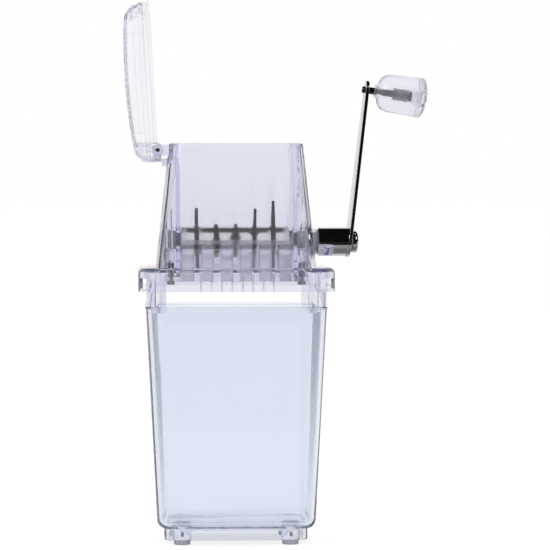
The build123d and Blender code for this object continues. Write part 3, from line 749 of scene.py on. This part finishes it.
dressNode("rotor_shaft", metals["drawnSteel"])
dressNode("retaining_clip", metals["drawnSteel"])
for number in range(1, 6):
    dressNode(f"crusher_blade_{number}", metals["stampedDarkSteel"])
bladeSize = {"places": (-24.8, -12.4, 0.0, 12.4, 24.8), "half": 1.0}
spacerSize = {"end": 35.0, "bore": 6.6, "radius": 9.3, "steps": [(0.5, 0.0), (0.15, 0.15), (0.0, 0.5)]}
starts = [-spacerSize["end"]] + [x + bladeSize["half"] for x in bladeSize["places"]]
ends = [x - bladeSize["half"] for x in bladeSize["places"]] + [spacerSize["end"]]


def spacerOutline(size, start, end):
    # bore, then the eased edge, the outside and the other eased edge
    near = [(size["radius"] - inwards, start + along) for inwards, along in size["steps"]]
    far = [(size["radius"] - inwards, end - along) for inwards, along in reversed(size["steps"])]
    return [(size["bore"], start)] + near + far + [(size["bore"], end)]


for number, (start, end) in enumerate(zip(starts, ends), start=1):
    spacer = turned(f"spacer{number}", spacerOutline(spacerSize, start, end), axle, rightwards)
    finishPiece(spacer, "crank", [f"spacer_{number}"], metals["turnedAluminium"])
print("rotor made")

armSize = {"x": 73.9, "z": 194.0, "lean": 6.7, "twist": 4.5, "thickness": 2.2, "length": 99.2, "hub": 10.0,
           "tip": 6.2, "edge": 0.4}
lean, twist = math.radians(armSize["lean"]), math.radians(armSize["twist"])
armNormal = Vector((math.cos(twist) * math.cos(lean), math.sin(twist), -math.cos(twist) * math.sin(lean)))
sleeveOutline = [(4.6, 53.6), (8.85, 53.6), (9.15, 53.75), (9.25, 54.1), (9.25, 76.0), (4.6, 76.0)]
sleeve = turned("crankSleeve", sleeveOutline, axle, rightwards, sides=128)
enterEdit(sleeve)
bpy.ops.mesh.select_all(action="SELECT")
armInner = (Vector((armSize["x"], 0, armSize["z"])) - armNormal * armSize["thickness"] / 2) * mm
bpy.ops.mesh.bisect(plane_co=armInner, plane_no=armNormal, use_fill=True, clear_outer=True)
leaveEdit()
tidyMesh(sleeve)
finishPiece(sleeve, "crank", ["crank_sleeve"], metals["polishedChrome"])


def makeArm(size):
    bpy.ops.object.select_all(action="DESELECT")
    bpy.ops.mesh.primitive_cylinder_add(vertices=96, radius=size["hub"] * mm, depth=size["thickness"] * mm,
                                        rotation=(0, math.radians(90), 0))
    arm = bpy.context.object
    arm.name = "crankArm"
    settle(arm)
    enterEdit(arm, "VERT")
    pick(lambda p, v: p.z > 0.01, "verts")
    ratio = size["tip"] / size["hub"]
    bpy.ops.transform.resize(value=(1, ratio, ratio), center_override=(0, 0, 0))
    bpy.ops.transform.translate(value=(0, 0, size["length"] * mm))
    bpy.ops.mesh.select_mode(type="EDGE")
    half = size["thickness"] / 2
    pick(lambda p, e: abs(abs(p.x) - half) < 0.01 and len({round(v.co.x, 6) for v in e.verts}) == 1, "edges")
    bpy.ops.mesh.bevel(offset=size["edge"] * mm, segments=3, affect="EDGES")
    leaveEdit()
    arm.rotation_euler = (0, 0, math.radians(size["twist"]))
    settle(arm)
    arm.rotation_euler = (0, math.radians(size["lean"]), 0)
    arm.location = (size["x"] * mm, 0, size["z"] * mm)
    settle(arm)
    tidyMesh(arm)
    return arm


arm = makeArm(armSize)
finishPiece(arm, "crank", ["crank_arm"], metals["polishedChrome"])
nutOutline = [(5.9, 76.1), (6.9, 76.15), (7.2, 76.5), (7.2, 78.2), (7.05, 78.7), (6.5, 79.35), (5.4, 79.85),
              (3.6, 80.25), (1.8, 80.45), (0.0, 80.5)]
nut = turned("crankNut", nutOutline, axle, rightwards, closed=False)
finishPiece(nut, "crank", ["crank_nut"], metals["polishedChrome"])
dressNode("crank_washer", metals["drawnSteel"])

knobPlace = (85.5, 0, 292.5)
knobTurn = (0, 98.2, 0)  # outwards and a little down, as the arm leans
stemOutline = [(1.5, -3.0), (2.0, -2.8), (2.25, -2.3), (2.25, 27.8), (3.3, 27.8), (3.5, 28.0), (3.5, 29.4),
               (3.3, 29.6), (0.0, 29.6)]
stem = turned("knobStem", stemOutline, knobPlace, knobTurn, sides=64, closed=False)
finishPiece(stem, "crank", ["knob_stem"], metals["oilBlackenedSteel"])
print("crank made")

shellOutline = [(2.6, 5.0), (4.2, 5.0), (4.5, 5.3), (4.5, 6.2), (5.0, 6.7), (6.9, 7.3), (8.6, 8.0),
                (10.0, 9.1), (11.1, 10.6), (11.8, 12.4), (12.2, 14.5), (12.6, 24.5), (13.0, 34.2),
                (12.85, 34.4), (4.0, 34.4), (4.0, 17.3), (2.6, 17.3)]
knobShell = turned("knobShell", shellOutline, knobPlace, knobTurn, sides=128)
finishPiece(knobShell, "knob", ["knob_shell"], clearAcrylic)
capOutline = [(3.75, 30.4), (3.95, 30.6), (3.95, 34.4), (12.85, 34.4), (13.0, 34.55), (12.8, 35.6),
              (12.2, 36.7), (10.8, 37.7), (8.6, 38.6), (5.8, 39.25), (2.9, 39.55), (0.0, 39.6)]
knobCap = turned("knobEndCap", capOutline, knobPlace, knobTurn, sides=128, closed=False)
finishPiece(knobCap, "knob", ["knob_end_cap"], clearAcrylic)

threadSize = {"bore": 2.3, "start": 17.3, "end": 27.6, "turns": 10, "pitch": 1.0, "crest": 3.98, "root": 3.55,
              "entry": 3.6, "crestStart": 0.3, "crestEnd": 0.55, "rootStart": 0.8, "rootEnd": 1.0}


def threadOutline(size):
    outline = [(size["bore"], size["start"]), (size["entry"], size["start"])]
    for number in range(size["turns"]):
        foot = size["start"] + number * size["pitch"]
        outline += [(size["crest"], foot + size["crestStart"]), (size["crest"], foot + size["crestEnd"]),
                    (size["root"], foot + size["rootStart"]), (size["root"], foot + size["rootEnd"])]
    return outline[:-1] + [(size["bore"], size["end"])]


knobInsert = turned("knobInsert", threadOutline(threadSize), knobPlace, knobTurn, sides=64)
finishPiece(knobInsert, "knob", ["knob_bushing"], plastics["smokedThreadInsert"])
print("knob made")

lidSize = {"edge": 0.25, "middle": 297.0}
lidCuts = [("y", 0.0), ("z", lidSize["middle"]), ("z", hingeSize["z"])]
lidShell = softened("lid_shell", "lidShell", lidSize["edge"], lidCuts)
finishPiece(lidShell, "lid", ["lid_shell"], clearLid)
print("lid made")

floorLook = {"size": 60, "down": 0.0002, "lit": 0.26, "glow": 0.81, "glowThrough": 0.70, "roughness": 0.9,
             "reach": 0.5}
# painted reflection: for glossy rays the floor glows in bands instead of showing its own lit surface, from
# the reach in front of the object to the reach behind it; a dark studio far in front, a lighter band, a dim
# band under the object that stands in for its shadow, and a bright band behind
paintedFloorReflectionBands = [(0.0, 0.02), (0.09, 0.02), (0.13, 0.42), (0.34, 0.42), (0.38, 0.22), (0.55, 0.26), (0.60, 0.80),
              (1.0, 0.92)]
bpy.ops.object.select_all(action="DESELECT")
bpy.ops.mesh.primitive_plane_add(size=floorLook["size"], location=(0, 0, -floorLook["down"]))
floor = bpy.context.object
floor.name = "paleFloor"
floorMaterial = bpy.data.materials.new("palePaperSweep")
floorMaterial.use_nodes = True


def bandRamp(tree, factor, bands):
    ramp = addNode(tree, "ShaderNodeValToRGB", None, {"Fac": factor})
    while len(ramp.color_ramp.elements) < len(bands):
        ramp.color_ramp.elements.new(0.5)
    for element, (position, level) in zip(ramp.color_ramp.elements, bands):
        element.position = position
    for element, (position, level) in zip(ramp.color_ramp.elements, bands):
        element.color = (level, level, level, 1)
    return ramp


tree = floorMaterial.node_tree
shader = tree.nodes["Principled BSDF"]
shader.inputs["Roughness"].default_value = floorLook["roughness"]
shader.inputs["Specular IOR Level"].default_value = 0.0
shader.inputs["Base Color"].default_value = (floorLook["lit"], floorLook["lit"], floorLook["lit"], 1)
shader.inputs["Emission Color"].default_value = (1, 1, 1, 1)
path = addNode(tree, "ShaderNodeLightPath")
direct = addNode(tree, "ShaderNodeMath", {"operation": "MULTIPLY", 1: floorLook["glow"]},
                 {0: path.outputs["Is Camera Ray"]})
glow = addNode(tree, "ShaderNodeMath", {"operation": "MULTIPLY_ADD", 1: floorLook["glowThrough"]},
               {0: path.outputs["Is Transmission Ray"], 2: direct.outputs[0]})
tree.links.new(glow.outputs[0], shader.inputs["Emission Strength"])
place = addNode(tree, "ShaderNodeTexCoord")
spot = addNode(tree, "ShaderNodeSeparateXYZ", None, {"Vector": place.outputs["Object"]})
reach = floorLook["reach"]
across = addNode(tree, "ShaderNodeMapRange", {"From Min": -reach, "From Max": reach},
                 {"Value": spot.outputs["Y"]})
bands = bandRamp(tree, across.outputs["Result"], paintedFloorReflectionBands)
# painted reflection: glossy rays see these glowing bands, not the floor's lit surface; the dim band under the
# object is a painted shadow
mirrored = addNode(tree, "ShaderNodeEmission", {"Strength": 1.0}, {"Color": bands.outputs["Color"]})
# a ray through clear plastic counts as glossy too, and belongs to the floor's own glow
mirrorOnly = addNode(tree, "ShaderNodeMath", {"operation": "GREATER_THAN"},
                     {0: path.outputs["Is Glossy Ray"], 1: path.outputs["Is Transmission Ray"]})
mixFloor = addNode(tree, "ShaderNodeMixShader", None, {0: mirrorOnly.outputs[0], 1: shader.outputs["BSDF"],
                                                      2: mirrored.outputs[0]})
tree.links.new(mixFloor.outputs[0], tree.nodes["Material Output"].inputs["Surface"])
floor.data.materials.append(floorMaterial)

world = bpy.data.worlds.new("softStudio")
bpy.context.scene.world = world
world.use_nodes = True
# polished metal sees a dark studio in front of it and a white wall behind the object
worldLook = {"ambient": 0.75, "dark": 0.004, "wall": 0.95, "wallStart": 0.62, "wallFull": 0.80,
             "warmth": (1, 0.98, 0.96, 1)}
# what clear plastic bends the eye to, from left to right: a narrow dark flag stands on the left
sideBands = [(0.0, 1.0), (0.012, 1.0), (0.03, 0.02), (0.21, 0.03), (0.30, 0.85), (0.38, 1.0), (0.84, 1.0),
             (0.93, 0.50), (0.985, 0.40), (0.995, 1.0)]
tree = world.node_tree
tree.nodes.clear()
path = addNode(tree, "ShaderNodeLightPath")
coords = addNode(tree, "ShaderNodeTexCoord")
parts = addNode(tree, "ShaderNodeSeparateXYZ", None, {"Vector": coords.outputs["Generated"]})
sideways = addNode(tree, "ShaderNodeMapRange", {"From Min": -1.0, "From Max": 1.0},
                   {"Value": parts.outputs["X"]})
sides = bandRamp(tree, sideways.outputs["Result"], sideBands)
ambient = addNode(tree, "ShaderNodeBackground", {"Color": (1, 1, 1, 1), "Strength": worldLook["ambient"]})
through = addNode(tree, "ShaderNodeBackground", {"Strength": 1.0}, {"Color": sides.outputs["Color"]})
behind = addNode(tree, "ShaderNodeMapRange",
                 {"From Min": worldLook["wallStart"], "From Max": worldLook["wallFull"],
                  "To Min": worldLook["dark"], "To Max": worldLook["wall"]},
                 {"Value": parts.outputs["Y"]})
mirrored = addNode(tree, "ShaderNodeBackground", {"Color": worldLook["warmth"]},
                   {"Strength": behind.outputs["Result"]})
white = addNode(tree, "ShaderNodeBackground", {"Color": (1, 1, 1, 1), "Strength": 1.0})
mixGloss = addNode(tree, "ShaderNodeMixShader", None, {0: path.outputs["Is Glossy Ray"],
                                                      1: ambient.outputs[0], 2: mirrored.outputs[0]})
mixThrough = addNode(tree, "ShaderNodeMixShader", None, {0: path.outputs["Is Transmission Ray"],
                                                        1: mixGloss.outputs[0], 2: through.outputs[0]})
mixCamera = addNode(tree, "ShaderNodeMixShader", None, {0: path.outputs["Is Camera Ray"],
                                                       1: mixThrough.outputs[0], 2: white.outputs[0]})
addNode(tree, "ShaderNodeOutputWorld", None, {"Surface": mixCamera.outputs[0]})

lamps = {
    "keyLamp": {"place": (-1.9, -2.4, 2.6), "size": 1.8, "power": 40.0},
    "fillLamp": {"place": (2.2, -1.7, 2.0), "size": 1.6, "power": 18.0},
    "topLamp": {"place": (0.0, 0.5, 3.2), "size": 2.0, "power": 30.0},
}
aimPoint = Vector((0, 0, 0.17))  # half way up the object
for name, lamp in lamps.items():
    bpy.ops.object.light_add(type="AREA", location=lamp["place"])
    light = bpy.context.object
    light.name = name
    light.data.size = lamp["size"]
    light.data.energy = lamp["power"]
    light.visible_glossy = name != "topLamp"
    light.visible_transmission = False  # a lamp seen through the plastic would be a hard white square
    light.rotation_euler = (aimPoint - Vector(lamp["place"])).to_track_quat("-Z", "Y").to_euler()
scene = bpy.context.scene
scene.view_settings.view_transform = "Standard"
scene.cycles.max_bounces = 32  # light runs a long way along the clear walls
scene.cycles.transmission_bounces = 32
scene.cycles.glossy_bounces = 32
scene.cycles.transparent_max_bounces = 16
print("studio lit")
